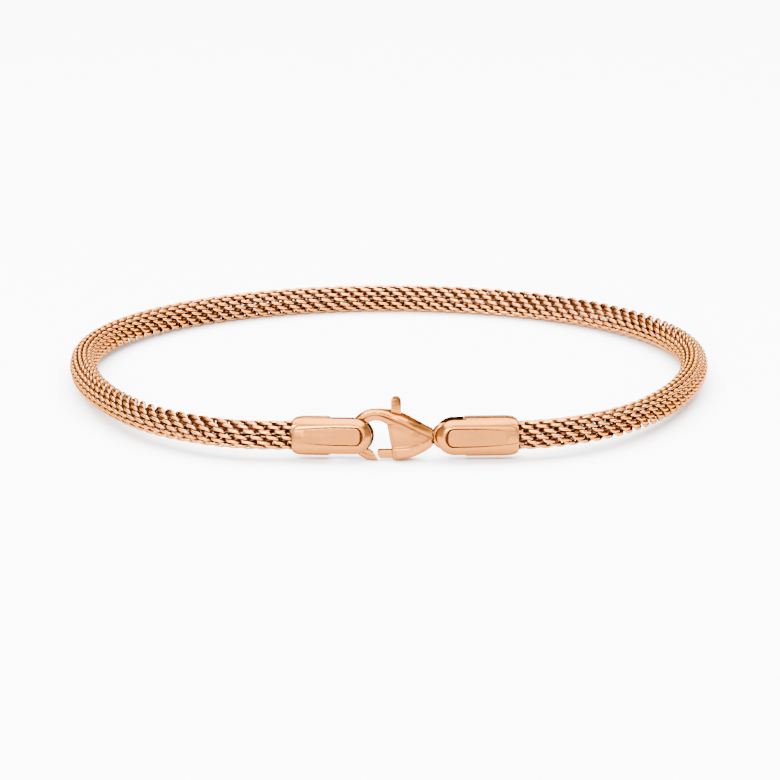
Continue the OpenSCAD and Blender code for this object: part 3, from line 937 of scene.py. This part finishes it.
def clasp_lever(material):
    """The lever in one piece: gate, eye, stem and thumb tab."""
    half = LEVER_THICKNESS / 2
    slant = (GATE_TOP_Z - GATE_LOW_Z) / 2 * GATE_END_SLANT
    gate = [
        (GATE_END_X + slant, GATE_LOW_Z), (EDGE_LOW.x + 0.35, GATE_LOW_Z), (PIVOT[0], -0.7), PIVOT,
        (PIVOT[0] - 0.7, 0), (EDGE_LOW.x, GATE_TOP_Z), (GATE_END_X + GATE_CORNER, GATE_TOP_Z),
        (GATE_END_X, GATE_TOP_Z - GATE_CORNER), (GATE_END_X, (GATE_TOP_Z + GATE_LOW_Z) / 2),
    ]
    near = TAB_X - TAB_WIDTH / 2
    far = TAB_X + TAB_WIDTH / 2
    stem = [
        (PIVOT[0] - 0.7, 0), PIVOT, (PIVOT[0] + 0.7, 0), (PIVOT[0] + 0.6, 0.9), (3.55, 1.33),
        (far, 1.9), (far, HOOK_R), (near, HOOK_R), (near, HOOK_R - 0.95),
    ]
    eye = arc(PIVOT, EYE_R, 0, 348, 29)
    lever = joined("polished_lever", [
        (slab(gate, half, GATE_EDGE_R), AS_DRAWN),
        (slab(stem, half - 2 * TOUCH, STEM_EDGE_R), AS_DRAWN),
        (slab(eye, half - TOUCH), AS_DRAWN),
        (thumb_tab(), AS_DRAWN),
    ], CLASP_PLACE)
    finished(lever, "lever", material, "clasp_lever")


def ramp(tree, source, *stops):
    """A colour ramp read from a value, with (position, colour) stops."""
    node = tree.nodes.new("ShaderNodeValToRGB")
    while len(node.color_ramp.elements) < len(stops):
        node.color_ramp.elements.new(1.0)
    for element, (position, colour) in zip(node.color_ramp.elements, stops):
        element.position = position
        element.color = (*colour, 1)
    tree.links.new(source, node.inputs["Fac"])
    return node.outputs["Color"]


def noise(tree, scale, detail, stretch=(1, 1, 1)):
    """A noise in metres of the object, stretched along its axes."""
    place = tree.nodes.new("ShaderNodeTexCoord")
    mapping = tree.nodes.new("ShaderNodeMapping")
    mapping.inputs["Scale"].default_value = stretch
    texture = tree.nodes.new("ShaderNodeTexNoise")
    texture.inputs["Scale"].default_value = scale
    texture.inputs["Detail"].default_value = detail
    tree.links.new(place.outputs["Object"], mapping.inputs["Vector"])
    tree.links.new(mapping.outputs["Vector"], texture.inputs["Vector"])
    return texture.outputs["Fac"]


def span(tree, source, low, high):
    """Carries a noise from its middle range to a range of its own."""
    node = tree.nodes.new("ShaderNodeMapRange")
    node.inputs["From Min"].default_value = 0.3
    node.inputs["From Max"].default_value = 0.7
    node.inputs["To Min"].default_value = low
    node.inputs["To Max"].default_value = high
    tree.links.new(source, node.inputs["Value"])
    return node.outputs["Result"]


def metal(name, colour, roughness, shade_colour):
    """Plated metal with patches of wear, fine lines and scratches, and painted shade where its vertices
    are marked for it, in recesses, creases and slots.
    """
    material = bpy.data.materials.new(name)
    material.use_nodes = True
    tree = material.node_tree
    shader = tree.nodes["Principled BSDF"]
    shader.inputs["Metallic"].default_value = 1.0
    shader.inputs["Specular Tint"].default_value = (*EDGE_TINT, 1)
    patches = noise(tree, PATCH_SCALE, 4)
    deeper = tuple(c * TONE_SPREAD for c in colour)
    tone = ramp(tree, patches, (0.35, deeper), (0.65, colour))
    # Painted shade: each vertex's shade mark mixes the dark shade colour into the base colour
    depth = tree.nodes.new("ShaderNodeAttribute")
    depth.attribute_name = "painted_shade"
    dark = ramp(tree, depth.outputs["Fac"], (PAINTED_SHADE_FROM, (0, 0, 0)), (PAINTED_SHADE_TO, (1, 1, 1)))
    mixed = tree.nodes.new("ShaderNodeMix")
    mixed.data_type = "RGBA"
    mixed.inputs["B"].default_value = (*shade_colour, 1)
    for source, socket in ((dark, "Factor"), (tone, "A")):
        tree.links.new(source, mixed.inputs[socket])
    tree.links.new(mixed.outputs["Result"], shader.inputs["Base Color"])
    lines = noise(tree, LINE_SCALE, 3, LINE_STRETCH)
    worn = span(tree, lines, roughness - ROUGHNESS_SPREAD, roughness + ROUGHNESS_SPREAD)
    tree.links.new(worn, shader.inputs["Roughness"])
    bump = tree.nodes.new("ShaderNodeBump")
    bump.inputs["Strength"].default_value = SCRATCH_STRENGTH
    bump.inputs["Distance"].default_value = SCRATCH_DEPTH * MM
    tree.links.new(noise(tree, SCRATCH_SCALE, 4, SCRATCH_STRETCH), bump.inputs["Height"])
    tree.links.new(bump.outputs["Normal"], shader.inputs["Normal"])
    return material


def make_floor():
    """A plain pale floor."""
    material = bpy.data.materials.new("pale_floor")
    material.use_nodes = True
    shader = material.node_tree.nodes["Principled BSDF"]
    shader.inputs["Base Color"].default_value = (FLOOR_WHITE, FLOOR_WHITE, FLOOR_WHITE, 1)
    shader.inputs["Roughness"].default_value = FLOOR_ROUGHNESS
    mesh = bmesh.new()
    bmesh.ops.create_grid(mesh, x_segments=1, y_segments=1, size=FLOOR_HALF)
    data = bpy.data.meshes.new("floor")
    mesh.to_mesh(data)
    mesh.free()
    data.materials.append(material)
    floor = bpy.data.objects.new("floor", data)
    bpy.context.collection.objects.link(floor)


def make_lamp(name, place, aim, size, power):
    """A soft rectangular lamp that points at a place."""
    light = bpy.data.lights.new(name, "AREA")
    light.shape = "RECTANGLE"
    light.size, light.size_y = size
    light.energy = power
    obj = bpy.data.objects.new(name, light)
    obj.location = place
    obj.rotation_euler = (Vector(aim) - Vector(place)).to_track_quat("-Z", "Y").to_euler()
    bpy.context.collection.objects.link(obj)


def make_camera():
    """The camera, low in front, turned so that the loop's middle falls on its pixel."""
    camera = bpy.data.objects.new("camera", bpy.data.cameras.new("camera"))
    camera.data.sensor_width = SENSOR_WIDTH
    camera.data.lens = PIXELS_PER_RADIAN / PHOTO_SIZE * SENSOR_WIDTH
    camera.data.clip_start = CLIP_START
    camera.data.clip_end = CLIP_END
    target = MESH_PLACE @ Vector((0, 0, 0))
    back = Vector((0, -math.cos(CAMERA_ELEVATION), math.sin(CAMERA_ELEVATION)))
    camera.location = (target + back * CAMERA_DISTANCE) * MM
    right_px = LOOP_MIDDLE_PX[0] - PHOTO_SIZE / 2
    up_px = PHOTO_SIZE / 2 - LOOP_MIDDLE_PX[1]
    facing = (-back).to_track_quat("-Z", "Y").to_matrix()
    aim = facing @ Vector((-right_px, -up_px, -PIXELS_PER_RADIAN))
    camera.rotation_euler = aim.to_track_quat("-Z", "Y").to_euler()
    bpy.context.collection.objects.link(camera)
    bpy.context.scene.camera = camera


def make_studio():
    """The floor, a white surround and the lamps."""
    world = bpy.data.worlds.new("studio")
    world.use_nodes = True
    surround = world.node_tree.nodes["Background"]
    surround.inputs["Color"].default_value = (1, 1, 1, 1)
    surround.inputs["Strength"].default_value = WORLD_STRENGTH
    bpy.context.scene.world = world
    make_floor()
    for name, (place, aim, size, power) in LAMPS.items():
        make_lamp(name, place, aim, size, power)


make_camera()
make_studio()
wire_finish = metal("rose_gold_wire", WIRE_GOLD, WIRE_ROUGHNESS, WIRE_PAINTED_SHADE)
cap_finish = metal("rose_gold_caps", CAP_GOLD_AND_SHADE, CAP_ROUGHNESS, CAP_PAINTED_SHADE)
woven_mesh(wire_finish)
end_cap("left_end_cap", LEFT_CAP, LEFT_MOUTH_X, 1, cap_finish)
end_cap("right_end_cap", RIGHT_CAP, RIGHT_MOUTH_X, -1, cap_finish)
clasp_body(cap_finish)
clasp_lever(cap_finish)
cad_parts["clasp_pin"].data.materials.clear()
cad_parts["clasp_pin"].data.materials.append(cap_finish)
